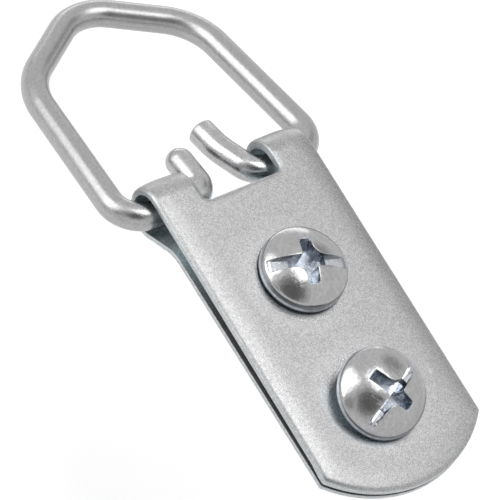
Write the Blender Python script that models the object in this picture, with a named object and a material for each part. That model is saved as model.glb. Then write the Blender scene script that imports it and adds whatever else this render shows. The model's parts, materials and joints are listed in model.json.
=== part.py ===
# D-ring picture hanger: a folded sheet-steel strap, a bent wire ring and two pan head screws.
# Frame: +X across the strap, +Y towards the ring, +Z out of the front face.
# The origin lies on the strap's back face, midway between the two screw holes.

import math

import bmesh
import bpy
from mathutils import Euler, Vector

MM = 0.001

# Strap: one strip folded in two round the wire
STRAP_WIDTH = 20.4 * MM
SHEET = 1.0 * MM
EDGE_ROUND = 0.22 * MM
TAIL_CORNER_Y = -13.4 * MM
TAIL_RADIUS = 13.75 * MM
LEAF_GAP_AT_TAIL = 0.60 * MM
LEAF_WEDGE = math.radians(1.5)
TAIL_LIP_WIDTH = 0.8 * MM
TAIL_LIP_GAP = 0.2 * MM
HOLE_SPACING = 15.0 * MM
HOLE_DIAMETER = 6.0 * MM

# Knuckles: where the strip rolls round the wire, parted by a window
KNUCKLE_Y = 21.0 * MM
KNUCKLE_RADIUS = 3.35 * MM
KNUCKLE_BACK_RADIUS = 3.2 * MM
BACK_SLOPE = math.radians(34.0)
BACK_BEND_RADIUS = 4.0 * MM
WINDOW_EDGE_Y = 19.0 * MM
WINDOW_WIDTH = 10.0 * MM
WINDOW_CORNER = 0.8 * MM

# Ring: one round wire, drawn in its own plane from the hinge axis upwards
WIRE_DIAMETER = 3.0 * MM
WIRE_DROP_IN_EYE = 0.12 * MM
RING_REST_TILT = math.radians(-14.2)
RING_ROLL_IN_EYE = math.radians(1.0)
RIGHT_FOOT = (12.85 * MM, 0.0)
RIGHT_SHOULDER = (11.3 * MM, 21.6 * MM)
APEX = (0.15 * MM, 29.1 * MM)
LEFT_SHOULDER = (-11.0 * MM, 21.5 * MM)
LEFT_FOOT = (-12.85 * MM, -0.2 * MM)
SHOULDER_BEND = 7.5 * MM
APEX_BEND = 5.5 * MM
LEFT_FOOT_BEND = 3.4 * MM
RIGHT_FOOT_BEND = 3.9 * MM
LEFT_END_X = -2.7 * MM
LEFT_END_BEND = 1.9 * MM
LEFT_TIP = (-2.5 * MM, 6.45 * MM)
RIGHT_END_X = 4.0 * MM
RIGHT_END_BEND = 3.0 * MM
RIGHT_CROOK = (2.35 * MM, 4.9 * MM)
RIGHT_CROOK_BEND = 9.0 * MM
RIGHT_TIP = (2.15 * MM, 7.85 * MM)
WIRE_SIDES_RESOLUTION = 6

# Screws: pan head with a slot and a cross recess
HEAD_RADIUS = 4.8 * MM
HEAD_RIM = 1.3 * MM
HEAD_HEIGHT = 2.85 * MM
HEAD_SEAT_GAP = 0.3 * MM
SHANK_RADIUS = 2.1 * MM
SHANK_LENGTH = 16.0 * MM
POINT_LENGTH = 4.5 * MM
SLOT_WIDTH = 1.3 * MM
SLOT_DEPTH = 1.4 * MM
CROSS_SPAN = 5.2 * MM
CROSS_WIDTH = 1.4 * MM
CROSS_DEPTH = 2.1 * MM
CROSS_TAPER = 0.45
UPPER_SLOT_TURN = math.radians(-19.5)
LOWER_SLOT_TURN = math.radians(27.5)
LOWER_LEAN = math.radians(14.0)
LOWER_SIDE_LEAN = math.radians(-3.6)
UPPER_OFF_CENTRE = (0.2 * MM, 0.2 * MM)
LOWER_OFF_CENTRE = (-0.2 * MM, 0.22 * MM)

# Facets
FULL_TURN_STEPS = 48
BEND_STEP = math.radians(9.0)


def clear_scene():
    for old in list(bpy.data.objects):
        bpy.data.objects.remove(old)


def make_material(name, colour, roughness):
    material = bpy.data.materials.new(name)
    material.use_nodes = True
    shader = material.node_tree.nodes["Principled BSDF"]
    shader.inputs["Base Color"].default_value = (*colour, 1.0)
    shader.inputs["Metallic"].default_value = 1.0
    shader.inputs["Roughness"].default_value = roughness
    return material


def add_mesh(name, bm, material=None):
    bmesh.ops.recalc_face_normals(bm, faces=bm.faces)
    mesh = bpy.data.meshes.new(name)
    bm.to_mesh(mesh)
    bm.free()
    obj = bpy.data.objects.new(name, mesh)
    bpy.context.collection.objects.link(obj)
    if material:
        mesh.materials.append(material)
    return obj


def add_prism(name, outline, low, high):
    """A closed solid: an outline of (x, y) points, raised from z = low to z = high."""
    bm = bmesh.new()
    bottom = bm.faces.new([bm.verts.new((x, y, low)) for x, y in outline])
    raised = bmesh.ops.extrude_face_region(bm, geom=[bottom])
    verts = [item for item in raised["geom"] if isinstance(item, bmesh.types.BMVert)]
    bmesh.ops.translate(bm, verts=verts, vec=(0, 0, high - low))
    return add_mesh(name, bm)


def boolean(target, cutter, operation):
    cutter.hide_render = True
    cutter.display_type = 'WIRE'
    modifier = target.modifiers.new(cutter.name, 'BOOLEAN')
    modifier.operation = operation
    modifier.object = cutter


def smooth(obj, degrees=35.0):
    obj.data.shade_smooth()
    obj.data.set_sharp_from_angle(angle=math.radians(degrees))


def arc_points(centre, radius, start, end, steps):
    for i in range(steps + 1):
        angle = start + (end - start) * i / steps
        yield (centre[0] + radius * math.cos(angle), centre[1] + radius * math.sin(angle))


# Strap

def front_top(y):
    """Height of the front leaf's face: it rises from the tail towards the ring."""
    gap = LEAF_GAP_AT_TAIL + (y - TAIL_CORNER_Y) * math.tan(LEAF_WEDGE)
    return SHEET + gap + SHEET / math.cos(LEAF_WEDGE)


def knuckle_centre():
    touch_y = KNUCKLE_Y - KNUCKLE_RADIUS * math.sin(LEAF_WEDGE)
    return KNUCKLE_Y, front_top(touch_y) - KNUCKLE_RADIUS * math.cos(LEAF_WEDGE)


def tail_centre_y():
    return TAIL_CORNER_Y + math.sqrt(TAIL_RADIUS ** 2 - (STRAP_WIDTH / 2) ** 2)


def folded_strip():
    """Middle line of the folded strip as (y, z, heading), from the back leaf's tail to the front leaf's."""
    mid_radius = KNUCKLE_RADIUS - SHEET / 2
    back_radius = KNUCKLE_BACK_RADIUS - SHEET / 2
    knuckle_y, knuckle_z = knuckle_centre()
    back_y = knuckle_y + mid_radius - back_radius
    drop = SHEET / 2 - BACK_BEND_RADIUS * (1 - math.cos(BACK_SLOPE))
    slope_run = (drop + back_radius * math.cos(BACK_SLOPE) - knuckle_z) / math.sin(BACK_SLOPE)
    bend_y = back_y - (BACK_BEND_RADIUS + back_radius) * math.sin(BACK_SLOPE)
    bend_y -= slope_run * math.cos(BACK_SLOPE)
    past_tail = tail_centre_y() - TAIL_RADIUS - SHEET

    line = [(past_tail, SHEET / 2, 0.0)]

    def bend(centre, radius, first, last, turn):
        steps = max(2, round(abs(last - first) / BEND_STEP))
        for i in range(steps + 1):
            heading = first + (last - first) * i / steps
            y = centre[0] + turn * radius * math.sin(heading)
            z = centre[1] - turn * radius * math.cos(heading)
            line.append((y, z, heading))

    bend((bend_y, SHEET / 2 - BACK_BEND_RADIUS), BACK_BEND_RADIUS, 0.0, -BACK_SLOPE, -1)
    front_heading = math.pi + LEAF_WEDGE
    bend((back_y, knuckle_z), back_radius, -BACK_SLOPE, math.pi / 2, 1)
    line.pop()
    bend((knuckle_y, knuckle_z), mid_radius, math.pi / 2, front_heading, 1)
    last_y, last_z, _ = line[-1]
    line.append((past_tail, last_z + (past_tail - last_y) * math.tan(LEAF_WEDGE), front_heading))
    return line


def strip_section(bm, x, half_sheet):
    """One closed loop of vertices: the strip's cut section at x."""
    line = folded_strip()
    left = [(y - half_sheet * math.sin(a), z + half_sheet * math.cos(a)) for y, z, a in line]
    right = [(y + half_sheet * math.sin(a), z - half_sheet * math.cos(a)) for y, z, a in line]
    return [bm.verts.new((x, y, z)) for y, z in left + right[::-1]]


def build_strap(material):
    half = STRAP_WIDTH / 2
    bm = bmesh.new()
    sections = [
        strip_section(bm, -half, SHEET / 2 - EDGE_ROUND),
        strip_section(bm, -half + EDGE_ROUND, SHEET / 2),
        strip_section(bm, half - EDGE_ROUND, SHEET / 2),
        strip_section(bm, half, SHEET / 2 - EDGE_ROUND),
    ]
    for near, far in zip(sections, sections[1:]):
        count = len(near)
        for i in range(count):
            j = (i + 1) % count
            bm.faces.new((near[i], near[j], far[j], far[i]))
    bm.faces.new(sections[0])
    bm.faces.new(sections[-1])
    strap = add_mesh("strap", bm, material)

    below = -2 * KNUCKLE_RADIUS
    above = 4 * KNUCKLE_RADIUS
    centre = (0.0, tail_centre_y())

    # The front leaf's rim is turned down along the tail arc
    reach = math.asin((half - EDGE_ROUND) / TAIL_RADIUS)
    start = -math.pi / 2 - reach
    end = -math.pi / 2 + reach
    outer = list(arc_points(centre, TAIL_RADIUS + SHEET, start, end, 24))
    inner = list(arc_points(centre, TAIL_RADIUS - TAIL_LIP_WIDTH, end, start, 24))
    lip_top = front_top(TAIL_CORNER_Y) - SHEET / 2
    lip = add_prism("tail_lip", outer + inner, SHEET + TAIL_LIP_GAP, lip_top)
    boolean(strap, lip, 'UNION')

    # The tail is sheared to an arc
    wide = half + SHEET
    sweep = math.asin(wide / TAIL_RADIUS)
    arc = list(arc_points(centre, TAIL_RADIUS, -math.pi / 2 - sweep, -math.pi / 2 + sweep, 30))
    end_y = centre[1] - TAIL_RADIUS - 4 * SHEET
    shear = add_prism("tail_shear", arc + [(wide, end_y), (-wide, end_y)], below, above)
    boolean(strap, shear, 'DIFFERENCE')

    # Window through the fold, with round inner corners
    side = WINDOW_WIDTH / 2
    corner = WINDOW_CORNER
    corner_y = WINDOW_EDGE_Y + corner
    far_y = KNUCKLE_Y + 2 * KNUCKLE_RADIUS
    outline = [(side, far_y), (-side, far_y)]
    outline += arc_points((-side + corner, corner_y), corner, math.pi, 1.5 * math.pi, 5)
    outline += arc_points((side - corner, corner_y), corner, 1.5 * math.pi, 2 * math.pi, 5)
    window = add_prism("fold_window", outline, below, above)
    boolean(strap, window, 'DIFFERENCE')

    # Screw holes through both leaves
    for name, y in (("upper_hole", HOLE_SPACING / 2), ("lower_hole", -HOLE_SPACING / 2)):
        circle = list(arc_points((0.0, y), HOLE_DIAMETER / 2, 0.0, 2 * math.pi, 36))[:-1]
        boolean(strap, add_prism(name, circle, below, above), 'DIFFERENCE')
    smooth(strap)
    return strap


# Ring

def rounded_path(corners, steps_per_turn=48):
    """A wire's centre line: straight runs between (x, h, bend radius) corners, joined by round bends."""
    points = [Vector(corners[0][:2])]
    for before, here, after in zip(corners, corners[1:], corners[2:]):
        corner = Vector(here[:2])
        towards = (Vector(before[:2]) - corner).normalized()
        onwards = (Vector(after[:2]) - corner).normalized()
        half_angle = towards.angle(onwards) / 2
        inset = here[2] / math.tan(half_angle)
        centre = corner + (towards + onwards).normalized() * here[2] / math.sin(half_angle)
        start = corner + towards * inset - centre
        end = corner + onwards * inset - centre
        turn = math.copysign(math.pi - 2 * half_angle, start.cross(end))
        steps = max(3, round(steps_per_turn * abs(turn) / (2 * math.pi)))
        for i in range(steps + 1):
            angle = turn * i / steps
            cos_a, sin_a = math.cos(angle), math.sin(angle)
            points.append(centre + Vector((start.x * cos_a - start.y * sin_a,
                                           start.x * sin_a + start.y * cos_a)))
    points.append(Vector(corners[-1][:2]))
    return points


def ring_axis():
    knuckle_y, knuckle_z = knuckle_centre()
    eye_y = knuckle_y + (KNUCKLE_RADIUS - KNUCKLE_BACK_RADIUS) / 2
    return Vector((0.0, eye_y, knuckle_z - WIRE_DROP_IN_EYE))


def build_ring(material):
    wire_radius = WIRE_DIAMETER / 2
    corners = [
        (*RIGHT_TIP, 0.0),
        (*RIGHT_CROOK, RIGHT_CROOK_BEND),
        (RIGHT_END_X, 0.0, RIGHT_END_BEND),
        (*RIGHT_FOOT, RIGHT_FOOT_BEND),
        (*RIGHT_SHOULDER, SHOULDER_BEND),
        (*APEX, APEX_BEND),
        (*LEFT_SHOULDER, SHOULDER_BEND),
        (*LEFT_FOOT, LEFT_FOOT_BEND),
        (LEFT_END_X, 0.0, LEFT_END_BEND),
        (*LEFT_TIP, 0.0),
    ]
    path = rounded_path(corners)
    radii = [1.0] * len(path)

    # The right end is sheared square with a broken edge, the left end is tumbled round
    right_end = (path[0] - path[1]).normalized()
    path.insert(1, path[0] - right_end * 0.25 * wire_radius)
    radii = [0.78, 1.0] + radii[1:]
    left_end = (path[-1] - path[-2]).normalized()
    dome_base = path[-1] - left_end * wire_radius
    path.pop()
    radii.pop()
    for i in range(7):
        rise = math.radians(14.0 * i)
        path.append(dome_base + left_end * wire_radius * math.sin(rise))
        radii.append(math.cos(rise))

    curve = bpy.data.curves.new("ring", 'CURVE')
    curve.dimensions = '3D'
    curve.bevel_depth = wire_radius
    curve.bevel_resolution = WIRE_SIDES_RESOLUTION
    curve.use_fill_caps = True
    spline = curve.splines.new('POLY')
    spline.points.add(len(path) - 1)
    for point, place, radius in zip(spline.points, path, radii):
        point.co = (place.x, place.y, 0.0, 1.0)
        point.radius = radius
    spline.use_smooth = True
    curve.materials.append(material)
    ring = bpy.data.objects.new("ring", curve)
    bpy.context.collection.objects.link(ring)
    ring.location = ring_axis()
    ring.rotation_euler = (RING_REST_TILT, RING_ROLL_IN_EYE, 0.0)
    return ring


# Screws

def screw_profile():
    """Half section as (radius, height) from the crown of the head down to the point."""
    dome = HEAD_HEIGHT - HEAD_RIM
    crown = (HEAD_RADIUS ** 2 + dome ** 2) / (2 * dome)
    reach = math.asin(HEAD_RADIUS / crown)
    profile = []
    for i in range(8):
        angle = reach * i / 7
        profile.append((crown * math.sin(angle), HEAD_HEIGHT - crown * (1 - math.cos(angle))))
    chamfer = 0.15 * MM
    profile += [
        (HEAD_RADIUS, chamfer),
        (HEAD_RADIUS - chamfer, 0.0),
        (SHANK_RADIUS, 0.0),
        (SHANK_RADIUS, POINT_LENGTH - SHANK_LENGTH),
        (0.0, -SHANK_LENGTH),
    ]
    return profile


def add_recess(name, screw, slot_turn):
    """Slot across the whole head, and a tapering cross that goes deeper at the centre."""
    def bar(label, half_x, half_y, depth, taper):
        bm = bmesh.new()
        top = HEAD_HEIGHT + SHANK_RADIUS
        spread = 1 + (1 - taper) * SHANK_RADIUS / depth
        low = HEAD_HEIGHT - depth
        loops = []
        for z, scale in ((low, taper), (top, spread)):
            corners = ((-1, -1), (1, -1), (1, 1), (-1, 1))
            loops.append([bm.verts.new((half_x * i * scale, half_y * j, z)) for i, j in corners])
        for i in range(4):
            j = (i + 1) % 4
            bm.faces.new((loops[0][i], loops[0][j], loops[1][j], loops[1][i]))
        bm.faces.new(loops[0])
        bm.faces.new(loops[1])
        cutter = add_mesh(name + label, bm)
        cutter.parent = screw
        return cutter

    slot = bar("_slot", 2 * HEAD_RADIUS, SLOT_WIDTH / 2, SLOT_DEPTH, 1.0)
    slot.rotation_euler = (0.0, 0.0, slot_turn)
    boolean(screw, slot, 'DIFFERENCE')
    for label, turn in (("_cross_a", 0.0), ("_cross_b", math.pi / 2)):
        wing = bar(label, CROSS_SPAN / 2, CROSS_WIDTH / 2, CROSS_DEPTH, CROSS_TAPER)
        wing.rotation_euler = (0.0, 0.0, slot_turn + turn)
        boolean(screw, wing, 'DIFFERENCE')


def build_screw(name, material, place, leans, slot_turn):
    bm = bmesh.new()
    verts = [bm.verts.new((radius, 0.0, height)) for radius, height in screw_profile()]
    edges = [bm.edges.new(pair) for pair in zip(verts, verts[1:])]
    bmesh.ops.spin(bm, geom=verts + edges, cent=(0, 0, 0), axis=(0, 0, 1),
                   angle=2 * math.pi, steps=FULL_TURN_STEPS, use_duplicate=False)
    bmesh.ops.remove_doubles(bm, verts=bm.verts, dist=0.001 * MM)
    screw = add_mesh(name, bm, material)
    screw.location = place
    screw.rotation_euler = leans
    add_recess(name, screw, slot_turn)
    smooth(screw)
    return screw


def build_screws(material):
    # Each screw stands a little off the middle of its clearance hole
    upper_x, upper_y = UPPER_OFF_CENTRE[0], HOLE_SPACING / 2 + UPPER_OFF_CENTRE[1]
    place = (upper_x, upper_y, front_top(upper_y) + HEAD_SEAT_GAP)
    build_screw("screw_upper", material, place, Euler((LEAF_WEDGE, 0.0, 0.0)), UPPER_SLOT_TURN)

    # The lower screw leans towards the tail until its rim meets the front leaf
    leans = Euler((LOWER_LEAN, LOWER_SIDE_LEAN, 0.0))
    axis = leans.to_matrix() @ Vector((0.0, 0.0, 1.0))
    leaf_normal = Vector((0.0, -math.sin(LEAF_WEDGE), math.cos(LEAF_WEDGE)))
    hole_y = -HOLE_SPACING / 2
    leaf_top = front_top(hole_y)
    seat = leaf_top + HEAD_RADIUS * math.sin(axis.angle(leaf_normal)) + HEAD_SEAT_GAP
    lower_y = hole_y - (seat - leaf_top / 2) * math.tan(LOWER_LEAN) + LOWER_OFF_CENTRE[1]
    place = (LOWER_OFF_CENTRE[0], lower_y, seat)
    build_screw("screw_lower", material, place, leans, LOWER_SLOT_TURN)


def main():
    clear_scene()
    build_strap(make_material("zinc_plated_sheet", (0.42, 0.42, 0.42), 0.42))
    build_ring(make_material("zinc_plated_wire", (0.46, 0.46, 0.46), 0.30))
    build_screws(make_material("bright_zinc_screw", (0.43, 0.43, 0.44), 0.22))


main()
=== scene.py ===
import json
import math

import bmesh
import bpy
from mathutils import Matrix, Vector
from mathutils.geometry import delaunay_2d_cdt

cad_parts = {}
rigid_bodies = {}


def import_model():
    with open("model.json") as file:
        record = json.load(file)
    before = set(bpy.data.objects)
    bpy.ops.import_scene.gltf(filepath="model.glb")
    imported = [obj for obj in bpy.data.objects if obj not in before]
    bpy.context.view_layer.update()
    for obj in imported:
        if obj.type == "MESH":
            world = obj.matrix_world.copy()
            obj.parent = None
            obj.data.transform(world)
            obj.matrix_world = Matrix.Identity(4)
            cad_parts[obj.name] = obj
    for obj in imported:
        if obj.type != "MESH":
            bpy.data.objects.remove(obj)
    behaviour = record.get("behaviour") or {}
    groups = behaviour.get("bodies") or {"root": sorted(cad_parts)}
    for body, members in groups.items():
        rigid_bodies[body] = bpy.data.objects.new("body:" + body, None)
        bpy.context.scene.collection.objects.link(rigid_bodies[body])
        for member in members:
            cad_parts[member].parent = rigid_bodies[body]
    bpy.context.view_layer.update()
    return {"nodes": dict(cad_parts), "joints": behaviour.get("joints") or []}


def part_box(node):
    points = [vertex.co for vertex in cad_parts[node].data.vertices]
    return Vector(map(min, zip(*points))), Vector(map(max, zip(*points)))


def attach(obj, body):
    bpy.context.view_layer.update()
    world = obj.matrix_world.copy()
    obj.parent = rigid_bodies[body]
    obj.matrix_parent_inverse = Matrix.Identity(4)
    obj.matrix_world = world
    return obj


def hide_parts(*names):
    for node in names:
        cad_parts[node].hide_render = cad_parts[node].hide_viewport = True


# D-ring picture hanger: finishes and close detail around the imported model

for leftover in list(bpy.data.objects):  # the start-up file's own cube, lamp and camera
    bpy.data.objects.remove(leftover)

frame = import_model()
mm = 0.001
print("frame loaded:", ", ".join(sorted(frame["nodes"])))


# Shared mesh helpers; lengths in millimetres and angles in degrees, unless a line says otherwise

meshSet = {"mergeDistance": 0.0005, "netTolerance": 1e-6, "tiny": 1e-9,
           "straightHalf": 89.9, "fewestSteps": 3}


def ramp(value, start, end):
    # 0 up to the start, 1 from the end on
    return min(1.0, max(0.0, (value - start) / (end - start)))


def findJoint(name):
    return next(joint for joint in frame["joints"] if joint["name"] == name)


def linkObject(name, data):
    obj = bpy.data.objects.new(name, data)
    bpy.context.scene.collection.objects.link(obj)
    return obj


def linkMesh(name, verts, faces, material):
    mesh = bpy.data.meshes.new(name)
    mesh.from_pydata([tuple(v) for v in verts], [], faces)
    mesh.materials.append(material)
    return linkObject(name, mesh)


def closeMesh(obj):
    # drop stray points, merge doubles and turn every face outwards
    bm = bmesh.new()
    bm.from_mesh(obj.data)
    stray = [v for v in bm.verts if not v.link_faces]
    bmesh.ops.delete(bm, geom=stray, context="VERTS")
    bmesh.ops.remove_doubles(bm, verts=bm.verts, dist=meshSet["mergeDistance"] * mm)
    bmesh.ops.recalc_face_normals(bm, faces=bm.faces)
    bm.to_mesh(obj.data)
    bm.free()


def markPoints(obj, name, values):
    layer = obj.data.attributes.new(name, "FLOAT", "POINT")
    layer.data.foreach_set("value", values)


def settle(obj):
    # turn the evaluated object into a plain mesh at the origin
    bpy.context.view_layer.update()
    graph = bpy.context.evaluated_depsgraph_get()
    mesh = bpy.data.meshes.new_from_object(obj.evaluated_get(graph))
    mesh.transform(obj.matrix_world)
    name = obj.name
    bpy.data.objects.remove(obj)
    return linkObject(name, mesh)


def smoothUnder(obj, degrees):
    obj.data.shade_smooth()
    obj.data.set_sharp_from_angle(angle=math.radians(degrees))


def circle(radius, count, x=0.0, y=0.0):
    angles = [math.tau * i / count for i in range(count)]
    return [(x + radius * math.cos(a), y + radius * math.sin(a)) for a in angles]


def roundCorners(corners, stepDegrees, closed=False):
    # (x, y, bend radius) corners to a line of straight runs and round bends
    count = len(corners)
    points = [] if closed else [Vector(corners[0][:2])]
    for i in range(count) if closed else range(1, count - 1):
        corner, bend = Vector(corners[i][:2]), corners[i][2]
        towards = (Vector(corners[i - 1][:2]) - corner).normalized()
        onwards = (Vector(corners[(i + 1) % count][:2]) - corner).normalized()
        half = towards.angle(onwards) / 2
        if bend <= 0 or half > math.radians(meshSet["straightHalf"]):
            points.append(corner)
            continue
        inset = bend / math.tan(half)
        centre = corner + (towards + onwards).normalized() * bend / math.sin(half)
        start = corner + towards * inset - centre
        end = corner + onwards * inset - centre
        turn = math.copysign(math.pi - 2 * half, start.cross(end))
        steps = max(meshSet["fewestSteps"], round(math.degrees(abs(turn)) / stepDegrees))
        for j in range(steps + 1):
            points.append(centre + Matrix.Rotation(turn * j / steps, 2) @ start)
    if not closed:
        points.append(Vector(corners[-1][:2]))
    return points


# Flat nets: lines that a triangulated plan has to follow

def addLine(net, points, closed=False):
    first = len(net["points"])
    net["points"].extend(Vector(p) for p in points)
    last = len(net["points"]) - 1
    net["edges"].extend((i, i + 1) for i in range(first, last))
    if closed:
        net["edges"].append((last, first))


def fillNet(net):
    flat, _, faces, *_ = delaunay_2d_cdt(net["points"], net["edges"], [], 0, meshSet["netTolerance"])
    return flat, [tuple(face) for face in faces]


def faceMiddle(flat, face):
    return sum((flat[i] for i in face), Vector((0, 0))) / len(face)


def openEdges(faces):
    # edges that only one face uses
    seen = dict.fromkeys(pair for face in faces for pair in zip(face, face[1:] + face[:1]))
    return [(a, b) for a, b in seen if (b, a) not in seen]


# Shared node helpers

def addSockets(tree, way, kind, *names):
    for name in names:
        tree.interface.new_socket(name=name, in_out=way, socket_type="NodeSocket" + kind)


def addNode(tree, kind, values=None, **settings):
    node = tree.nodes.new(kind)
    for key, value in settings.items():
        setattr(node, key, value)
    for key, value in (values or {}).items():
        if isinstance(value, bpy.types.NodeSocket):
            tree.links.new(value, node.inputs[key])
        else:
            node.inputs[key].default_value = value
    return node


def addMath(tree, operation, *values):
    return addNode(tree, "ShaderNodeMath", dict(enumerate(values)), operation=operation).outputs[0]


def addFinish(tree, geometry, finish, outSocket):
    # every tree ends in real geometry with its material
    real = addNode(tree, "GeometryNodeRealizeInstances", {"Geometry": geometry})
    coated = addNode(tree, "GeometryNodeSetMaterial", {"Geometry": real.outputs[0], "Material": finish})
    tree.links.new(coated.outputs[0], outSocket)


def addTree(obj, name, tree, values):
    # the tree as a modifier, its inputs set by identifier
    modifier = obj.modifiers.new(name, "NODES")
    modifier.node_group = tree
    for item in tree.interface.items_tree:
        if item.item_type == "SOCKET" and item.in_out == "INPUT" and item.name in values:
            modifier[item.identifier] = values[item.name]


# Shared finish: zinc plate, one attribute mixes in painted light and, on the wire, wear; smoother where
# it has a sheen

grainSet = {"cloudDetail": 4.0, "cloudRoughness": 0.55, "bumpDepth": 0.02}


def makeGrainGroup(k):
    # frosted crystals: a tint around 1, a roughness change and a height
    tree = bpy.data.node_groups.new("zincGrain", "ShaderNodeTree")
    addSockets(tree, "INPUT", "Float", "Fine Scale", "Cloud Scale", "Fine Amount", "Cloud Amount")
    addSockets(tree, "OUTPUT", "Float", "Tint", "Rough Change", "Height")
    given = addNode(tree, "NodeGroupInput").outputs
    out = addNode(tree, "NodeGroupOutput").inputs
    place = addNode(tree, "ShaderNodeTexCoord").outputs["Object"]
    fine = addNode(tree, "ShaderNodeTexVoronoi", {"Vector": place, "Scale": given["Fine Scale"]})
    cloud = addNode(tree, "ShaderNodeTexNoise", {
        "Vector": place, "Scale": given["Cloud Scale"],
        "Detail": k["cloudDetail"], "Roughness": k["cloudRoughness"]})
    fineSigned = addMath(tree, "SUBTRACT", fine.outputs["Color"], 0.5)
    cloudSigned = addMath(tree, "SUBTRACT", cloud.outputs["Fac"], 0.5)
    finePart = addMath(tree, "MULTIPLY", fineSigned, given["Fine Amount"])
    cloudPart = addMath(tree, "MULTIPLY", cloudSigned, given["Cloud Amount"])
    both = addMath(tree, "ADD", finePart, cloudPart)
    tree.links.new(addMath(tree, "ADD", both, 1.0), out["Tint"])
    tree.links.new(cloudPart, out["Rough Change"])
    tree.links.new(fine.outputs["Distance"], out["Height"])
    return tree


grainGroup = makeGrainGroup(grainSet)


def makeZinc(name, look):
    material = bpy.data.materials.new(name)
    material.use_nodes = True
    tree = material.node_tree
    shader = tree.nodes["Principled BSDF"].inputs
    shader["Metallic"].default_value = 1.0
    paintedLightAndWear = addNode(tree, "ShaderNodeAttribute", attribute_name="paintedLightAndWear").outputs["Fac"]
    sheen = addNode(tree, "ShaderNodeAttribute", attribute_name="sheen").outputs["Fac"]

    def byPaintedLightAndWear(base, change):
        return addMath(tree, "MULTIPLY_ADD", paintedLightAndWear, change, base)

    grain = addNode(tree, "ShaderNodeGroup", node_tree=grainGroup)
    for key, paintedLightAndWearChange in (("Fine", look["paintedLightAndWearGrain"]), ("Cloud", look["paintedLightAndWearCloud"])):
        grain.inputs[key + " Scale"].default_value = look[key + " Scale"]
        tree.links.new(byPaintedLightAndWear(look[key + " Amount"], paintedLightAndWearChange), grain.inputs[key + " Amount"])
    plate = addNode(tree, "ShaderNodeMix", {
        "Factor": paintedLightAndWear, "A": (*look["colour"], 1.0), "B": (*look["paintedLightAndWearColour"], 1.0)}, data_type="RGBA")
    colour = addNode(tree, "ShaderNodeMix", {
        "Factor": 1.0, "A": plate.outputs["Result"], "B": grain.outputs["Tint"]},
        data_type="RGBA", blend_type="MULTIPLY")
    plain = byPaintedLightAndWear(look["rough"], look["paintedLightAndWearRough"])
    rough = addMath(tree, "ADD", grain.outputs["Rough Change"], plain)
    rough = addMath(tree, "MULTIPLY_ADD", sheen, -look["sheen"], rough)
    bump = addNode(tree, "ShaderNodeBump", {
        "Strength": look["bump"], "Distance": grainSet["bumpDepth"] * mm,
        "Height": grain.outputs["Height"]})
    tree.links.new(colour.outputs["Result"], shader["Base Color"])
    tree.links.new(rough, shader["Roughness"])
    tree.links.new(bump.outputs["Normal"], shader["Normal"])
    return material


# a marked spot takes the mark's colour and adds the mark's other values; the mark is painted light, on
# the wire also wear
# a full sheen takes its value off the roughness
# the sheet's pale teal mark is painted light: lifted shade beside the heads and bounce light in the eye;
# on cut edges a lighter tint
sheetFinish = makeZinc("zincSheet", {
    "colour": (0.365, 0.365, 0.368), "paintedLightAndWearColour": (0.72, 0.82, 0.86),
    "rough": 0.45, "paintedLightAndWearRough": 0.0, "sheen": 0.24, "bump": 0.4,
    "Fine Scale": 13000.0, "Fine Amount": 0.8, "paintedLightAndWearGrain": 0.3,
    "Cloud Scale": 300.0, "Cloud Amount": 0.06, "paintedLightAndWearCloud": 0.0})
# the wire's lighter, mottled mark is wear, and painted light where the knuckles shade it
wireFinish = makeZinc("zincWire", {
    "colour": (0.365, 0.365, 0.368), "paintedLightAndWearColour": (0.42, 0.42, 0.425),
    "rough": 0.29, "paintedLightAndWearRough": -0.04, "sheen": 0.0, "bump": 0.25,
    "Fine Scale": 7000.0, "Fine Amount": 0.3, "paintedLightAndWearGrain": 0.0,
    "Cloud Scale": 700.0, "Cloud Amount": 0.08, "paintedLightAndWearCloud": 0.5})
# the screw's bluish mark is painted bounce light in the recess and on the rim
screwFinish = makeZinc("zincScrew", {
    "colour": (0.40, 0.40, 0.405), "paintedLightAndWearColour": (0.47, 0.51, 0.57),
    "rough": 0.20, "paintedLightAndWearRough": 0.05, "sheen": 0.25, "bump": 0.3,
    "Fine Scale": 3000.0, "Fine Amount": 0.2, "paintedLightAndWearGrain": 0.3,
    "Cloud Scale": 500.0, "Cloud Amount": 0.1, "paintedLightAndWearCloud": 0.6})
print("finishes ready")


# Strap: a flat blank, cut, then folded round the wire

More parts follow.
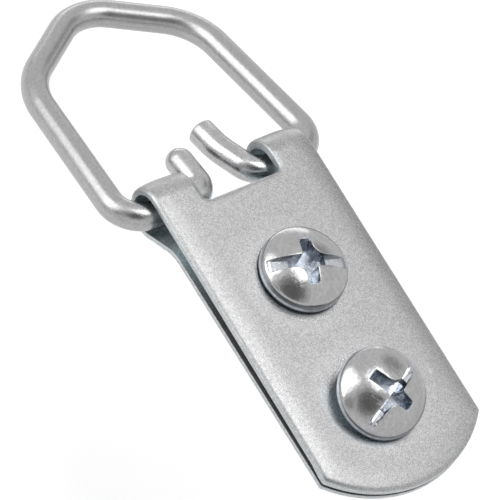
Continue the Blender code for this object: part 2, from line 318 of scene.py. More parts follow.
strapSet = {
    "sheet": 1.0, "tailRadius": 13.75, "tailCornerY": -13.4, "leafGap": 0.6, "leafWedge": 1.5,
    "lipWidth": 0.8, "lipGap": 0.4, "lipBlend": 0.06,  # front leaf's rim, turned down along the tail
    "holeSpacing": 15.0, "holeDiameter": 6.0,
    "knuckleY": 21.0, "knuckleRadius": 3.35, "knuckleBackRadius": 3.2,
    "backSlope": 34.0, "backBendRadius": 4.0,
    "windowEdgeY": 19.0, "windowBackY": 18.7, "windowWidth": 10.0, "windowCorner": 0.8,
    "leftKnuckleShort": 0.22, "shortenedOver": 5.0,
    "rollWide": 0.55, "rollDeep": 0.24, "rollSteps": 7,  # edges drawn over by the punch
    "burrRound": 0.08,
    "crownWide": 2.8, "crownDeep": 0.26, "crownSteps": 4,  # faces fall away towards the outer edges
    # painted light in the shade beside the lower and upper head, as (width, share), on their left and
    # tail side
    "headReach": 4.4, "paintedLightBesideHeads": ((1.5, 0.8), (0.6, 0.5)), "besideFade": 0.7,
    "besideTowards": (0.4, -0.92), "besideFrom": 0.5, "besideFull": 0.85,
    # painted bounce light in the eye, and a lighter tint on the cut edges
    "eyeFrom": 8.0, "eyeTo": 16.0, "eyeRim": 0.2, "cutTint": 0.22, "cutReach": 0.15,
    # sheen round the heads and along the edges
    "sheenReach": 3.0, "edgeSheen": 0.42, "edgeWide": 2.4,
    # fineness of the net; the head rings are distances past headReach
    "bendStep": 3.0, "leafStep": 1.5, "columns": 12, "tailSteps": 44, "holeSteps": 40, "headSteps": 48,
    "headRings": (0.0, 0.15, 0.3, 0.45, 0.6, 0.8, 1.3, 1.9, 2.6, 3.0), "cornerStep": 10.0,
    "searchPerMm": 200, "smoothUnder": 60.0,
}


def foldRuns(k):
    # middle line of the strip as (length, start y, start z, heading, turn) runs from the back tail
    wedge = math.radians(k["leafWedge"])
    slope = math.radians(k["backSlope"])
    sheet = k["sheet"]
    front = k["knuckleRadius"] - sheet / 2
    back = k["knuckleBackRadius"] - sheet / 2
    touchY = k["knuckleY"] - k["knuckleRadius"] * math.sin(wedge)
    leafTop = 2 * sheet + k["leafGap"] + (touchY - k["tailCornerY"]) * math.tan(wedge)
    leafTop += sheet / math.cos(wedge) - sheet
    eyeZ = leafTop - k["knuckleRadius"] * math.cos(wedge)
    backY = k["knuckleY"] + front - back
    drop = sheet / 2 - k["backBendRadius"] * (1 - math.cos(slope))
    slopeRun = (drop + back * math.cos(slope) - eyeZ) / math.sin(slope)
    bendY = backY - (k["backBendRadius"] + back) * math.sin(slope) - slopeRun * math.cos(slope)
    tailY = k["tailCornerY"] - k["tailRadius"]
    plan = [
        (bendY - tailY, 0.0), (k["backBendRadius"] * slope, -slope), (slopeRun, 0.0),
        (back * (slope + math.pi / 2), slope + math.pi / 2),
        (front * (math.pi / 2 + wedge), math.pi / 2 + wedge),
        (k["knuckleY"] - tailY, 0.0),
    ]
    runs, y, z, heading = [], tailY, sheet / 2, 0.0
    for length, turn in plan:
        runs.append((length, y, z, heading, turn))
        y, z, heading = alongRun(runs[-1], length)
    return runs


def alongRun(run, distance):
    length, y, z, heading, turn = run
    if turn == 0.0:
        return y + distance * math.cos(heading), z + distance * math.sin(heading), heading
    radius = length / turn
    now = heading + turn * distance / length
    return (y + radius * (math.sin(now) - math.sin(heading)),
            z - radius * (math.cos(now) - math.cos(heading)), now)


def rounding(reach, wide, deep):
    # how far a quarter-round edge has sunk at this reach from it
    return deep * (1 - math.sqrt(max(0.0, 1 - (1 - min(reach, wide) / wide) ** 2)))


class StrapBlank:
    # the blank by place along the strip (s, from the back tail) and across it (x)

    def __init__(self, k):
        self.k = k
        self.runs = foldRuns(k)
        self.starts = [sum(run[0] for run in self.runs[:i]) for i in range(len(self.runs))]
        self.total = self.starts[-1] + self.runs[-1][0]
        self.wedge = math.radians(k["leafWedge"])
        self.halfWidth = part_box("strap")[1].x / mm
        self.tailY = k["tailCornerY"] + math.sqrt(k["tailRadius"] ** 2 - self.halfWidth ** 2)
        # the window runs from the S-bend, over the fold, to the front leaf
        places = (i / k["searchPerMm"] for i in range(int(self.total * k["searchPerMm"])))
        self.windowFrom = next(s for s in places if self.onFold(s)[0] > k["windowBackY"])
        self.windowTo = self.frontPlace(k["windowEdgeY"])
        self.halfWindow = k["windowWidth"] / 2
        holeYs = (-k["holeSpacing"] / 2, k["holeSpacing"] / 2)
        self.heads = [self.frontPlace(y) for y in holeYs]
        self.holes = [self.backPlace(y) for y in holeYs] + self.heads

    def onFold(self, s):
        i = max(j for j, start in enumerate(self.starts) if s >= start - meshSet["tiny"])
        return alongRun(self.runs[i], s - self.starts[i])

    def backPlace(self, y):
        return y - self.runs[0][1]

    def frontPlace(self, y):
        return self.starts[-1] + (self.runs[-1][1] - y) / math.cos(self.wedge)

    def tailReach(self, s, x):
        y = self.onFold(s)[0]
        past = math.hypot(x, y - self.tailY) if y < self.tailY else 0.0
        return self.k["tailRadius"] - past

    def windowReach(self, s, x):
        corner = self.k["windowCorner"]
        middle = (self.windowFrom + self.windowTo) / 2
        acrossS = abs(s - middle) - (self.windowTo - self.windowFrom) / 2 + corner
        acrossX = abs(x) - self.halfWindow + corner
        outside = math.hypot(max(acrossS, 0.0), max(acrossX, 0.0))
        return outside + min(max(acrossS, acrossX), 0.0) - corner

    def rimReach(self, s, x):
        return min(self.halfWidth - abs(x), self.tailReach(s, x))

    def edgeReach(self, s, x):
        # distance to the nearest cut edge, negative off the metal
        holeReach = min(math.hypot(s - hole, x) for hole in self.holes) - self.k["holeDiameter"] / 2
        return min(self.rimReach(s, x), self.windowReach(s, x), holeReach)

    def tailArc(self, place, distance):
        radius = self.k["tailRadius"] - distance
        sweep = math.asin((self.halfWidth - distance) / radius)
        steps = self.k["tailSteps"]
        angles = [-sweep + 2 * sweep * i / steps for i in range(steps + 1)]
        return [(place(self.tailY - radius * math.cos(a)), radius * math.sin(a)) for a in angles]

    def outline(self, distance):
        # the outer edge, moved in by this distance
        return self.tailArc(self.backPlace, distance) + self.tailArc(self.frontPlace, distance)[::-1]

    def windowLine(self, distance):
        low, high, side = self.windowFrom - distance, self.windowTo + distance, self.halfWindow + distance
        corner = self.k["windowCorner"] + distance
        corners = [(s, x, corner) for s, x in ((low, -side), (high, -side), (high, side), (low, side))]
        return roundCorners(corners, self.k["cornerStep"], True)

    def skins(self, s, x):
        # outer and inner skin, lifted off the folded middle line
        k = self.k
        reach = max(0.0, self.edgeReach(s, x))
        y, z, heading = self.onFold(min(max(s, 0.0), self.total))
        out = k["sheet"] / 2 - rounding(reach, k["rollWide"], k["rollDeep"])
        out -= k["crownDeep"] * (1 - min(self.rimReach(s, x), k["crownWide"]) / k["crownWide"]) ** 2
        into = k["sheet"] / 2 - rounding(reach, k["burrRound"], k["burrRound"])
        if s > self.starts[-1]:
            # the front leaf's rim is turned down along the tail
            gap = k["leafGap"] + (y - k["tailCornerY"]) * math.tan(self.wedge)
            lipFrom, lipTo = k["lipWidth"] + k["lipBlend"], k["lipWidth"] - k["lipBlend"]
            into += (gap - k["lipGap"]) * ramp(self.tailReach(s, x), lipFrom, lipTo)
        if -self.halfWidth < x < 0:
            # the left knuckle is rolled a little shorter towards the window
            towardsWindow = (1 + x / self.halfWidth) * 2
            edgeY = k["windowEdgeY"]
            y -= k["leftKnuckleShort"] * ramp(y, edgeY, edgeY + k["shortenedOver"]) * towardsWindow
        side, up = math.sin(heading), math.cos(heading)
        return (Vector((x, y + side * out, z - up * out)) * mm,
                Vector((x, y - side * into, z + up * into)) * mm)

    def paintedLightAndTint(self, s, x):
        # painted light beside the heads and in the eye, and a tint on the cut edges, of the outer and the
        # inner skin
        k = self.k
        reach = max(0.0, self.edgeReach(s, x))
        cut = k["cutTint"] * ramp(reach, k["cutReach"], 0.0)
        # painted reflection of the rim, lifting the heads' shadow on their left and tail side
        beside = 0.0
        for head, (wide, most) in zip(self.heads, k["paintedLightBesideHeads"]):
            away = Vector((s - head, x))
            far = k["headReach"] + wide
            facing = away.dot(Vector(k["besideTowards"])) / max(away.length, meshSet["tiny"])
            near = ramp(away.length, far, far - k["besideFade"])
            beside = max(beside, most * near * ramp(facing, k["besideFrom"], k["besideFull"]))
        # painted bounce light inside the eye
        y = self.onFold(min(max(s, 0.0), self.total))[0]
        inEye = ramp(y, k["eyeFrom"], k["eyeTo"]) * ramp(reach, 0.0, k["eyeRim"])
        return max(cut, beside), max(cut, inEye)

    def sheen(self, s, x):
        k = self.k
        away = min(math.hypot(s - head, x) for head in self.heads) - k["headReach"]
        rubbed = k["edgeSheen"] * ramp(max(0.0, self.edgeReach(s, x)), k["edgeWide"], 0.0)
        return max(rubbed, ramp(away, k["sheenReach"], 0.0))


def strapNet(k, blank):
    net = {"points": [], "edges": []}
    # lines at these distances from every cut edge carry the rounded edges
    rollAngles = [math.pi / 2 * i / k["rollSteps"] for i in range(k["rollSteps"] + 1)]
    distances = {k["rollWide"] * (1 - math.cos(a)) for a in rollAngles} | {k["burrRound"]}
    distances |= {k["burrRound"] * (1 - math.cos(a)) for a in rollAngles[2:-1:2]}
    for distance in sorted(distances):
        addLine(net, blank.outline(distance), True)
        addLine(net, blank.windowLine(distance), True)
        for hole in blank.holes:
            addLine(net, circle(k["holeDiameter"] / 2 + distance, k["holeSteps"], hole), True)
    for distance in (k["lipWidth"] - k["lipBlend"], k["lipWidth"] + k["lipBlend"]):
        addLine(net, blank.tailArc(blank.frontPlace, distance))
    for head in blank.heads:
        for grow in k["headRings"]:
            addLine(net, circle(k["headReach"] + grow, k["headSteps"], head), True)
    for i in range(1, k["crownSteps"] + 1):
        distance = k["rollWide"] + (k["crownWide"] - k["rollWide"]) * i / k["crownSteps"]
        addLine(net, blank.outline(distance), True)

    # rows across every bend, and a coarse net on the leaves
    for (length, _, _, _, turn), start in zip(blank.runs, blank.starts):
        count = math.ceil(math.degrees(abs(turn)) / k["bendStep"]) or math.ceil(length / k["leafStep"])
        for i in range(count):
            s = start + length * i / count
            addLine(net, [(s, -blank.halfWidth), (s, blank.halfWidth)])
    for i in range(1, k["columns"]):
        x = -blank.halfWidth + 2 * blank.halfWidth * i / k["columns"]
        addLine(net, [(0.0, x), (blank.total, x)])
    return net


def makeStrap(k, material):
    blank = StrapBlank(k)
    flat, faces = fillNet(strapNet(k, blank))
    outer, inner = zip(*(blank.skins(s, x) for s, x in flat))
    outerLightAndTint, innerLightAndTint = zip(*(blank.paintedLightAndTint(s, x) for s, x in flat))
    metal = [face for face in faces if blank.edgeReach(*faceMiddle(flat, face)) > meshSet["netTolerance"]]
    count = len(flat)
    walls = [(b, a, a + count, b + count) for a, b in openEdges(metal)]
    inside = [tuple(i + count for i in face[::-1]) for face in metal]
    obj = linkMesh("strap_folded", outer + inner, metal + inside + walls, material)
    markPoints(obj, "paintedLightAndWear", outerLightAndTint + innerLightAndTint)
    markPoints(obj, "sheen", [blank.sheen(s, x) for s, x in flat] + [0.0] * count)
    closeMesh(obj)
    smoothUnder(obj, k["smoothUnder"])
    return obj


strap = makeStrap(strapSet, sheetFinish)
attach(strap, "strap")
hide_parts("strap")
print("strap folded:", len(strap.data.polygons), "faces")


# Ring: wire swept along its bends

ringSet = {
    "wire": 3.1, "tilt": -14.2, "bendStep": 3.0, "sides": 40, "smoothUnder": 40.0,
    # corners of the middle line, measured from the eye
    "rightTip": (2.25, 7.85), "rightCrook": (2.45, 4.9), "rightCrookBend": 9.0,
    "rightEndX": 4.0, "rightEndBend": 2.5, "rightFoot": (12.85, 0.0), "rightFootBend": 3.7,
    "rightShoulder": (11.35, 21.6), "shoulderBend": 7.5, "apex": (0.15, 29.2), "apexBend": 5.5,
    "leftShoulder": (-11.0, 21.5), "leftFoot": (-12.9, -0.2), "leftFootBend": 3.4,
    "leftEndX": -2.6, "leftEndBend": 1.9, "leftTip": (-2.4, 6.45),
    "shearLong": 0.28, "shearIn": 0.18, "shearSteps": 4,  # broken edge of the right end
    "tumbleStep": 7.2, "tumbleSteps": 12,  # left end, tumbled round
    "rubbedAndLitTo": 9.0, "plainFrom": 13.0,  # marked near the eye: wear, and painted light against the knuckles' shade
}


def makeSweepTree():
    tree = bpy.data.node_groups.new("wireSweep", "GeometryNodeTree")
    addSockets(tree, "INPUT", "Geometry", "Centre Line")
    addSockets(tree, "INPUT", "Float", "Wire Radius", "Rubbed And Lit To", "Plain From")
    addSockets(tree, "INPUT", "Int", "Sides")
    addSockets(tree, "INPUT", "Material", "Finish")
    addSockets(tree, "OUTPUT", "Geometry", "Wire")
    given = addNode(tree, "NodeGroupInput").outputs
    out = addNode(tree, "NodeGroupOutput").inputs
    section = addNode(tree, "GeometryNodeCurvePrimitiveCircle", {
        "Resolution": given["Sides"], "Radius": given["Wire Radius"]})
    spot = addNode(tree, "GeometryNodeInputPosition")
    away = addNode(tree, "ShaderNodeVectorMath", {0: spot.outputs[0]}, operation="LENGTH")
    # wear and painted light near the eye, fading out between the two distances from the pivot
    rubbed = addNode(tree, "ShaderNodeMapRange", {
        "Value": away.outputs["Value"], "From Min": given["Rubbed And Lit To"], "From Max": given["Plain From"],
        "To Min": 1.0, "To Max": 0.0})
    marked = addNode(tree, "GeometryNodeStoreNamedAttribute", {
        "Geometry": given["Centre Line"], "Name": "paintedLightAndWear", "Value": rubbed.outputs[0]}, data_type="FLOAT")
    thick = addNode(tree, "GeometryNodeInputRadius")
    sweep = addNode(tree, "GeometryNodeCurveToMesh", {
        "Curve": marked.outputs["Geometry"], "Profile Curve": section.outputs["Curve"],
        "Scale": thick.outputs[0], "Fill Caps": True})
    smooth = addNode(tree, "GeometryNodeSetShadeSmooth", {"Geometry": sweep.outputs[0]})
    addFinish(tree, smooth.outputs[0], given["Finish"], out["Wire"])
    return tree


def ringPath(k):
    # middle line in the ring's own plane, right end first, and the share of the wire's radius along it
    path = roundCorners([
        (*k["rightTip"], 0), (*k["rightCrook"], k["rightCrookBend"]),
        (k["rightEndX"], 0, k["rightEndBend"]),
        (*k["rightFoot"], k["rightFootBend"]), (*k["rightShoulder"], k["shoulderBend"]),
        (*k["apex"], k["apexBend"]),
        (*k["leftShoulder"], k["shoulderBend"]), (*k["leftFoot"], k["leftFootBend"]),
        (k["leftEndX"], 0, k["leftEndBend"]), (*k["leftTip"], 0)], k["bendStep"])
    thick = [1.0] * len(path)

    # sheared right end with a broken edge
    tip, outwards = path[0], (path[0] - path[1]).normalized()
    angles = [math.pi / 2 * i / k["shearSteps"] for i in range(k["shearSteps"], -1, -1)]
    path[:1] = [tip - outwards * k["shearLong"] * (1 - math.sin(a)) for a in angles]
    thick[:1] = [1.0 - k["shearIn"] * (1 - math.cos(a)) for a in angles]

    # tumbled left end
    outwards = (path[-1] - path[-2]).normalized()
    base = path[-1] - outwards * (k["wire"] / 2)
    angles = [math.radians(k["tumbleStep"]) * i for i in range(k["tumbleSteps"] + 1)]
    path[-1:] = [base + outwards * (k["wire"] / 2) * math.sin(a) for a in angles]
    thick[-1:] = [math.cos(a) for a in angles]
    return path, thick


def makeRing(k, material):
    path, thick = ringPath(k)
    curve = bpy.data.curves.new("ring_wire", "CURVE")
    curve.dimensions = "3D"
    spline = curve.splines.new("POLY")
    spline.points.add(len(path) - 1)
    for point, place, share in zip(spline.points, path, thick):
        point.co = (place.x * mm, place.y * mm, 0.0, 1.0)
        point.radius = share
    obj = linkObject("ring_wire", curve)
    obj.location = findJoint("ring_swing")["pos_m"]
    obj.rotation_euler.x = math.radians(k["tilt"])
    addTree(obj, "sweep", makeSweepTree(), {
        "Wire Radius": k["wire"] / 2 * mm, "Sides": k["sides"], "Finish": material,
        "Rubbed And Lit To": k["rubbedAndLitTo"] * mm, "Plain From": k["plainFrom"] * mm})
    obj = settle(obj)
    closeMesh(obj)
    smoothUnder(obj, k["smoothUnder"])
    return obj


ring = makeRing(ringSet, wireFinish)
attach(ring, "ring")
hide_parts("ring")
print("ring swept:", len(ring.data.polygons), "faces")


# Screws: pan heads with a slot and a cross recess, wood thread below

screwSet = {
    "headHeight": 2.85, "shoulderRound": 0.5, "domeInset": 0.15,
    "slotDepth": 1.4, "wingWidth": 1.3, "wingReach": 2.6, "wingOver": 0.15, "wingEndRound": 0.2,
    "wingDepth": 2.0, "wingSlope": 2.0,
    "wideCorner": 1.3, "tightCorner": 0.25,  # the punch leaves two corners wide
    "edgeRound": 0.09, "wallDraft": 0.14,
    # rim below the shoulder: a waist, then a foot that stands out a little
    "waistFrom": 1.0, "waistHeight": 0.42, "waistIn": 0.04, "waistRound": 0.15,
    "footHeight": 0.24, "footOut": 0.1, "footRound": 0.06, "soleRound": 0.1,
    # neck, core and point
    "neckRadius": 2.1, "neckLength": 1.6, "neckRound": 0.3, "rootRadius": 1.5, "rootBend": 0.4,
    "shankLength": 16.0, "pointLength": 4.5, "pointBend": 1.0, "pointRadius": 0.08,
    # thread: lengths, then shares of its run and of its full height
    "threadRadius": 2.25, "threadFrom": 2.2, "threadShort": 0.3, "turns": 8.0, "threadEndRadius": 0.1,
    "fullFrom": 0.12, "startShare": 0.05, "fullTo": 0.75, "endShare": 0.15, "flankShare": 0.55,
    # painted bounce light on the rim and in the recess, less of it towards the slot's ends; the rim and
    # shank are dull
    "rimPaintedLight": 0.6, "slotEndDrop": 0.7, "slotEndFrom": 1.3, "slotEndTo": 2.3, "rimSheen": -1.0,
    # fineness of the net
    "domeSteps": 14, "profileStep": 10.0, "recessStep": 8.0, "belowStep": 15.0,
    "edgeShares": (1.0, 0.6, 0.25, 0.0), "creaseReach": 2.2, "overrun": 1.0, "rimSlack": 1e-4,
    "smallestRing": 0.3, "coarseSides": 48, "fineFrom": 1.5, "sides": 96,
    "threadPoints": 360, "ridgeSides": 4, "smoothUnder": 42.0,
}
screwPlaces = {  # the lower head's recess sits off centre, and its slot is narrow
    "screw_upper": {"joint": "screw_upper_turn", "slotTurn": -19.5, "headRadius": 4.72, "rim": 1.2,
                    "slotWidth": 1.3, "slotGroove": 0.0, "slotShift": 0.0, "recessShift": 0.0},
    "screw_lower": {"joint": "screw_lower_turn", "slotTurn": 26.5, "headRadius": 4.85, "rim": 0.8,
                    "slotWidth": 0.8, "slotGroove": -0.08, "slotShift": -0.5, "recessShift": -0.3},
}


def makeThreadTree(k):
    # a ridge wound round the core, fading in under the neck and out at the point
    tree = bpy.data.node_groups.new("woodThread", "GeometryNodeTree")
    addSockets(tree, "INPUT", "Geometry", "Screw")
    addSockets(tree, "INPUT", "Float", "Root Radius", "Ridge", "Start", "End", "Point Length", "Turns")
    addSockets(tree, "INPUT", "Material", "Finish")
    addSockets(tree, "OUTPUT", "Geometry", "Threaded")
    given = addNode(tree, "NodeGroupInput").outputs
    out = addNode(tree, "NodeGroupOutput").inputs

    # helix
    line = addNode(tree, "GeometryNodeCurvePrimitiveLine")
    fine = addNode(tree, "GeometryNodeResampleCurve", {
        "Curve": line.outputs["Curve"], "Count": k["threadPoints"]})
    along = addNode(tree, "GeometryNodeSplineParameter").outputs["Factor"]
    depth = addNode(tree, "ShaderNodeMapRange", {
        "Value": along, "To Min": given["Start"], "To Max": given["End"]}).outputs[0]
    radius = addNode(tree, "ShaderNodeMapRange", {
        "Value": depth, "From Max": given["End"], "To Min": given["Root Radius"],
        "From Min": addMath(tree, "SUBTRACT", given["End"], given["Point Length"]),
        "To Max": k["threadEndRadius"] * mm}).outputs[0]
    wound = addMath(tree, "MULTIPLY", along, given["Turns"])
    angle = addMath(tree, "MULTIPLY", wound, -math.tau)
    place = addNode(tree, "ShaderNodeCombineXYZ", {
        "X": addMath(tree, "MULTIPLY", addMath(tree, "COSINE", angle), radius),
        "Y": addMath(tree, "MULTIPLY", addMath(tree, "SINE", angle), radius),
        "Z": addMath(tree, "MULTIPLY", depth, -1.0)})
    helix = addNode(tree, "GeometryNodeSetPosition", {
        "Geometry": fine.outputs["Curve"], "Position": place.outputs["Vector"]})
    upright = addNode(tree, "GeometryNodeSetCurveNormal", {
        "Curve": helix.outputs["Geometry"]}, mode="Z_UP")

    # ridge
    fadeIn = addNode(tree, "ShaderNodeMapRange", {
        "Value": along, "From Max": k["fullFrom"], "To Min": k["startShare"]})
    fadeOut = addNode(tree, "ShaderNodeMapRange", {
        "Value": along, "From Min": k["fullTo"], "To Min": 1.0, "To Max": k["endShare"]})
    diamond = addNode(tree, "GeometryNodeCurvePrimitiveCircle", {
        "Resolution": k["ridgeSides"], "Radius": given["Ridge"]})
    blade = addNode(tree, "GeometryNodeTransform", {
        "Geometry": diamond.outputs["Curve"], "Scale": (1.0, k["flankShare"], 1.0)})
    ridge = addNode(tree, "GeometryNodeCurveToMesh", {
        "Curve": upright.outputs[0], "Profile Curve": blade.outputs[0], "Fill Caps": True,
        "Scale": addMath(tree, "MULTIPLY", fadeIn.outputs[0], fadeOut.outputs[0])})
    both = addNode(tree, "GeometryNodeJoinGeometry")
    for piece in (ridge.outputs[0], given["Screw"]):
        tree.links.new(piece, both.inputs[0])
    addFinish(tree, both.outputs[0], given["Finish"], out["Threaded"])
    return tree


threadTree = makeThreadTree(screwSet)


class ScrewHead:
    # the head's top as heights over its plan, the slot along x

    def __init__(self, k, place):
        self.k = k
        self.top, self.radius, rim = k["headHeight"], place["headRadius"], place["rim"]
        self.slotHalf, self.wingHalf = place["slotWidth"] / 2, k["wingWidth"] / 2
        self.crossY, self.slotY = place["recessShift"], place["slotShift"]
        self.groove = place["slotGroove"]
        # dome and shoulder as (radius, height), crown first
        rise = self.top - rim
        ball = (self.radius ** 2 + rise ** 2) / (2 * rise)
        domeEnd = math.asin((self.radius - k["domeInset"]) / ball)
        angles = [domeEnd * i / k["domeSteps"] for i in range(k["domeSteps"])]
        crown = [(ball * math.sin(a), self.top - ball * (1 - math.cos(a)), 0) for a in angles]
        shoulder = [(self.radius, rim, k["shoulderRound"]), (self.radius, 0, 0)]
        self.profile = roundCorners(crown + shoulder, k["profileStep"])[:-1]
        self.wingStart = self.top - self.domeHeight(k["wingReach"])

    def domeHeight(self, r):
        for a, b in zip(self.profile, self.profile[1:]):
            if r <= b.x:
                return a.y + (b.y - a.y) * (r - a.x) / max(b.x - a.x, meshSet["tiny"])
        return self.profile[-1].y

    def insideRecess(self, x, y):
        # how far inside the recess outline, negative on the metal
        k = self.k
        y -= self.crossY
        corner = k["wideCorner"] if x * (y - self.slotY) > 0 else k["tightCorner"]
        u, v = abs(x) - self.wingHalf, abs(y - self.slotY) - self.slotHalf
        if u < corner and v < corner:
            inside = math.hypot(corner - u, corner - v) - corner
        else:
            inside = max(-u, -v)
        if v > 0:
            inside = min(inside, k["wingReach"] + k["wingOver"] - abs(y))
        return inside

    def wingFloor(self, reach):
        slope = self.wingStart + (self.k["wingReach"] - reach) * self.k["wingSlope"]
        return min(self.k["wingDepth"], slope)

    def reachAt(self, depth):
        # where the wing's sloping floor is this deep
        return self.k["wingReach"] - (depth - self.wingStart) / self.k["wingSlope"]

    def floorDepth(self, x, y):
        y -= self.crossY
        inSlot = abs(y - self.slotY) < self.slotHalf
        inWing = abs(x) < self.wingHalf
        wing = self.wingFloor(abs(y))
        slot = max(self.k["slotDepth"], self.wingFloor(abs(x)))
        if inSlot:
            slot += self.groove * (1 - abs(y - self.slotY) / self.slotHalf)
        if inSlot and inWing:
            return max(wing, slot)
        if inWing:
            return wing
        if inSlot:
            return slot
        return min(wing, slot)

    def height(self, x, y):
        dome = self.domeHeight(math.hypot(x, y))
        inside = self.insideRecess(x, y)
        edge = self.k["edgeRound"]
        if inside <= -edge:
            return dome
        floor = min(dome, self.top - self.floorDepth(x, y))
        if inside < 0:
            dip = edge * (1 - math.sqrt(1 - (1 + inside / edge) ** 2))
            return max(floor, dome - dip)
        brink = max(floor, dome - edge)
        return brink + (floor - brink) * ramp(inside, 0.0, self.k["wallDraft"])

    def recessLine(self, inside):
        # outline of the slot and the cross wings, moved in by this distance
        k = self.k
        middle = self.crossY + self.slotY
        w, far = self.wingHalf - inside, self.radius + k["overrun"] - inside
        high, low = middle + self.slotHalf - inside, middle - self.slotHalf + inside
        wingEnd = k["wingReach"] + k["wingOver"] - inside
        upper, lower = self.crossY + wingEnd, self.crossY - wingEnd
        wide, tight, tip = k["wideCorner"] + inside, k["tightCorner"] + inside, k["wingEndRound"] - inside
        return roundCorners([
            (far, high, 0), (w, high, wide), (w, upper, tip),
            (-w, upper, tip), (-w, high, tight), (-far, high, 0),
            (-far, low, 0), (-w, low, wide), (-w, lower, tip),
            (w, lower, tip), (w, low, tight), (far, low, 0),
        ], k["recessStep"], True)

    def paintedLightAndTint(self, x, y):
        # painted bounce light in the recess, less towards the slot's ends
        endDrop = self.k["slotEndDrop"] * ramp(abs(x), self.k["slotEndFrom"], self.k["slotEndTo"])
        return (1 - endDrop) * ramp(self.insideRecess(x, y), 0.0, self.k["wallDraft"])


def headNet(k, head):
    net = {"points": [], "edges": []}
    for r in sorted({round(p.x, 5) for p in head.profile if p.x > k["smallestRing"]}):
        addLine(net, circle(r, k["sides"] if r > k["fineFrom"] else k["coarseSides"]), True)
    for share in k["edgeShares"]:
        addLine(net, head.recessLine(-share * k["edgeRound"]), True)
    addLine(net, head.recessLine(k["wallDraft"]), True)
    far, middle = head.radius + k["overrun"], head.crossY + head.slotY
    addLine(net, [(-far, middle), (far, middle)])
    # creases of the recess floor
    reach, deepAt = k["creaseReach"], head.reachAt(k["wingDepth"])
    for side in (-1, 1):
        for wingY in (deepAt, k["wingReach"]):
            y = head.crossY + side * wingY
            addLine(net, [(-reach, y), (reach, y)])
        for slotX in (deepAt, head.reachAt(k["slotDepth"])):
            addLine(net, [(side * slotX, -reach), (side * slotX, reach)])
    return net


def turnBelow(k, radius, plan, border, verts, faces):
    # rim, underside, neck, core and point below the head's border, which has this plan
    foot = radius + k["footOut"]
    profile = roundCorners([
        (radius, k["waistFrom"], 0), (radius - k["waistIn"], k["waistHeight"], k["waistRound"]),
        (foot, k["footHeight"], k["footRound"]), (foot, 0, k["soleRound"]),
        (k["neckRadius"], 0, k["neckRound"]), (k["neckRadius"], -k["neckLength"], k["rootBend"]),
        (k["rootRadius"], -k["threadFrom"], k["rootBend"]),
        (k["rootRadius"], k["pointLength"] - k["shankLength"], k["pointBend"]),
        (k["pointRadius"], -k["shankLength"], 0)], k["belowStep"])[1:]
    last = border
    for r, h in profile:
        now = list(range(len(verts), len(verts) + len(border)))
        verts.extend(Vector((spot.x * r / radius, spot.y * r / radius, h)) * mm for spot in plan)
        for i in range(len(border)):
            j = (i + 1) % len(border)
            faces.append((last[i], now[i], now[j], last[j]))
        last = now
    faces.append(tuple(last))


def makeScrew(name, place, k, material):
    head = ScrewHead(k, place)
    radius = head.radius
    flat, faces = fillNet(headNet(k, head))
    chordReach = radius * math.cos(math.pi / k["sides"])
    faces = [face for face in faces if faceMiddle(flat, face).length < chordReach
             and max(flat[i].length for i in face) < radius + k["rimSlack"]]
    verts = [Vector((x, y, head.height(x, y))) * mm for x, y in flat]
    border = sorted({a for a, b in openEdges(faces)}, key=lambda i: math.atan2(flat[i].y, flat[i].x))
    turnBelow(k, radius, [flat[i] for i in border], border, verts, faces)
    obj = linkMesh(name + "_turned", verts, faces, material)
    below = verts[len(flat):]
    # painted light in the recess and on the rim above the plate
    paintedLightAndWear = [head.paintedLightAndTint(x, y) for x, y in flat] + [k["rimPaintedLight"] if v.z > 0 else 0.0 for v in below]
    markPoints(obj, "paintedLightAndWear", paintedLightAndWear)
    markPoints(obj, "sheen", [0.0] * len(flat) + [k["rimSheen"]] * len(below))
    closeMesh(obj)
    smoothUnder(obj, k["smoothUnder"])

    joint = findJoint(place["joint"])
    axis = Vector(joint["axis"])
    obj.matrix_world = (Matrix.Translation(joint["pos_m"])
                        @ Matrix.Rotation(math.atan2(axis.x, axis.z), 4, "Y")
                        @ Matrix.Rotation(math.asin(-axis.y), 4, "X")
                        @ Matrix.Rotation(math.radians(place["slotTurn"]), 4, "Z"))
    addTree(obj, "thread", threadTree, {
        "Root Radius": k["rootRadius"] * mm, "Ridge": (k["threadRadius"] - k["rootRadius"]) * mm,
        "Start": k["threadFrom"] * mm, "End": (k["shankLength"] - k["threadShort"]) * mm,
        "Point Length": k["pointLength"] * mm, "Turns": k["turns"], "Finish": material})
    return settle(obj)


for name, place in screwPlaces.items():
    screw = makeScrew(name, place, screwSet, screwFinish)
    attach(screw, name)
    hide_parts(name)
    print("screw turned:", name, len(screw.data.polygons), "faces")


# Studio: camera, floor, dim cards and soft boxes

cameraSet = {"aim": (-3.484, 12.227, 3.0), "distance": 360.96, "azimuth": -60.53, "elevation": 54.9,
             "roll": 32.75, "lens": 249.84, "sensor": 36.0, "clip": (10.0, 20000.0)}


def directionFrom(azimuth, elevation):
    a, e = math.radians(azimuth), math.radians(elevation)
    return Vector((math.sin(a) * math.cos(e), -math.cos(a) * math.cos(e), math.sin(e)))


def makeCamera(k):
    data = bpy.data.cameras.new("camera")
    data.lens, data.sensor_width = k["lens"], k["sensor"]
    data.clip_start, data.clip_end = (reach * mm for reach in k["clip"])
    camera = linkObject("camera", data)
    back = directionFrom(k["azimuth"], k["elevation"])
    level = (-back).to_track_quat("-Z", "Y").to_matrix()
    turned = level @ Matrix.Rotation(math.radians(k["roll"]), 3, "Z")
    camera.rotation_mode = "QUATERNION"
    camera.rotation_quaternion = turned.to_quaternion()
    camera.location = (Vector(k["aim"]) + back * k["distance"]) * mm
    bpy.context.scene.camera = camera


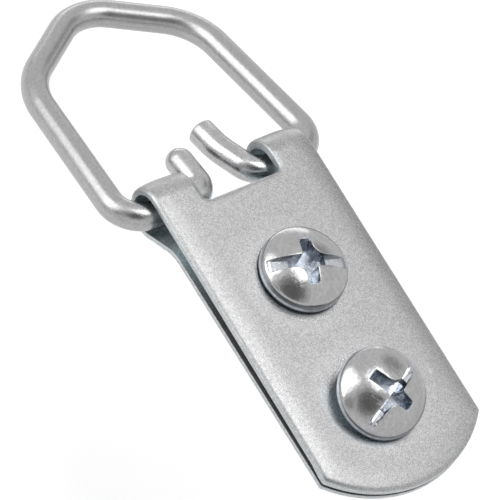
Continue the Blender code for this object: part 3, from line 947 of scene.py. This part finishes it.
studioSet = {
    "floorZ": -45.0, "floorSize": 3000.0, "floorShade": 0.76, "floorRough": 0.9, "floorGlow": 0.12,
    "cards": {  # azimuth, elevation, distance, radius, share that is darkest, level there
        "cameraCard": (-49.0, 58.0, 520.0, 350.0, 0.35, 0.18),
        "rightCard": (106.0, 33.0, 150.0, 62.0, 0.3, 0.5),
        "leftCard": (-88.0, 33.0, 420.0, 125.0, 0.35, 0.4),
    },
    "cardSides": 32,
    "boxes": {  # middle, direction of the length, width, length, brightness
        "topBox": ((32.0, 22.0, 180.0), (1.0, 0.0, 0.0), 114.0, 96.0, 2.8),
        "leftBox": ((-158.0, 155.0, 158.0), (0.76, 0.16, 0.63), 170.0, 220.0, 2.35),
        "backBox": ((150.0, 270.0, -4.0), (0.87, -0.48, 0.0), 60.0, 220.0, 1.6),
    },
    "worldStrength": 1.0,
}


def makeMatt(name, shade, glow):
    # a plain surface without gloss, and its shader's inputs
    material = bpy.data.materials.new(name)
    material.use_nodes = True
    shader = material.node_tree.nodes["Principled BSDF"].inputs
    shader["Base Color"].default_value = (shade, shade, shade, 1.0)
    shader["Specular IOR Level"].default_value = 0.0
    shader["Emission Strength"].default_value = glow
    return material, shader


def makeFloor(k):
    size, z = k["floorSize"] * mm, k["floorZ"] * mm
    material, shader = makeMatt("paleFloor", k["floorShade"], k["floorGlow"])
    shader["Roughness"].default_value = k["floorRough"]
    shader["Emission Color"].default_value = (1.0, 1.0, 1.0, 1.0)
    corners = [(-size, -size, z), (size, -size, z), (size, size, z), (-size, size, z)]
    floor = linkMesh("floor", corners, [(0, 1, 2, 3)], material)


def makeDimCards(k):
    # dim sides of the studio, seen only in reflections and fading out to the rim
    for name, (azimuth, elevation, distance, radius, core, level) in k["cards"].items():
        material, shader = makeMatt(name, 0.0, 1.0)
        tree = material.node_tree
        place = addNode(tree, "ShaderNodeTexCoord").outputs["Object"]
        away = addNode(tree, "ShaderNodeVectorMath", {0: place}, operation="LENGTH")
        fade = addNode(tree, "ShaderNodeMapRange", {
            "Value": away.outputs["Value"], "From Min": core * radius * mm, "From Max": radius * mm,
            "To Min": level, "To Max": 1.0}, interpolation_type="SMOOTHSTEP")
        tree.links.new(fade.outputs[0], shader["Emission Color"])
        corners = [(x, y, 0.0) for x, y in circle(radius * mm, k["cardSides"])]
        card = linkMesh(name, corners, [tuple(range(k["cardSides"]))], material)
        back = directionFrom(azimuth, elevation)
        card.matrix_world = (Matrix.Translation((Vector(cameraSet["aim"]) + back * distance) * mm)
                             @ back.to_track_quat("Z", "Y").to_matrix().to_4x4())
        card.visible_camera = card.visible_shadow = card.visible_diffuse = False


def makeSoftBoxes(k):
    for name, (middle, along, width, length, bright) in k["boxes"].items():
        light = bpy.data.lights.new(name, "AREA")
        light.shape = "RECTANGLE"
        light.size, light.size_y = length * mm, width * mm
        light.energy = bright * math.pi * length * width * mm * mm
        box = linkObject(name, light)
        back = (Vector(middle) - Vector(cameraSet["aim"])).normalized()
        side = (Vector(along) - back * back.dot(Vector(along))).normalized()
        turn = Matrix((side, back.cross(side), back)).transposed()
        box.matrix_world = Matrix.Translation(Vector(middle) * mm) @ turn.to_4x4()
        box.visible_camera = False


def makeWorld(k):
    world = bpy.data.worlds.new("studio")
    bpy.context.scene.world = world
    world.use_nodes = True
    background = world.node_tree.nodes["Background"].inputs
    background["Color"].default_value = (1.0, 1.0, 1.0, 1.0)
    background["Strength"].default_value = k["worldStrength"]


makeCamera(cameraSet)
makeFloor(studioSet)
makeDimCards(studioSet)
makeSoftBoxes(studioSet)
makeWorld(studioSet)
print("studio lit")

bpy.context.scene.view_settings.view_transform = "Standard"
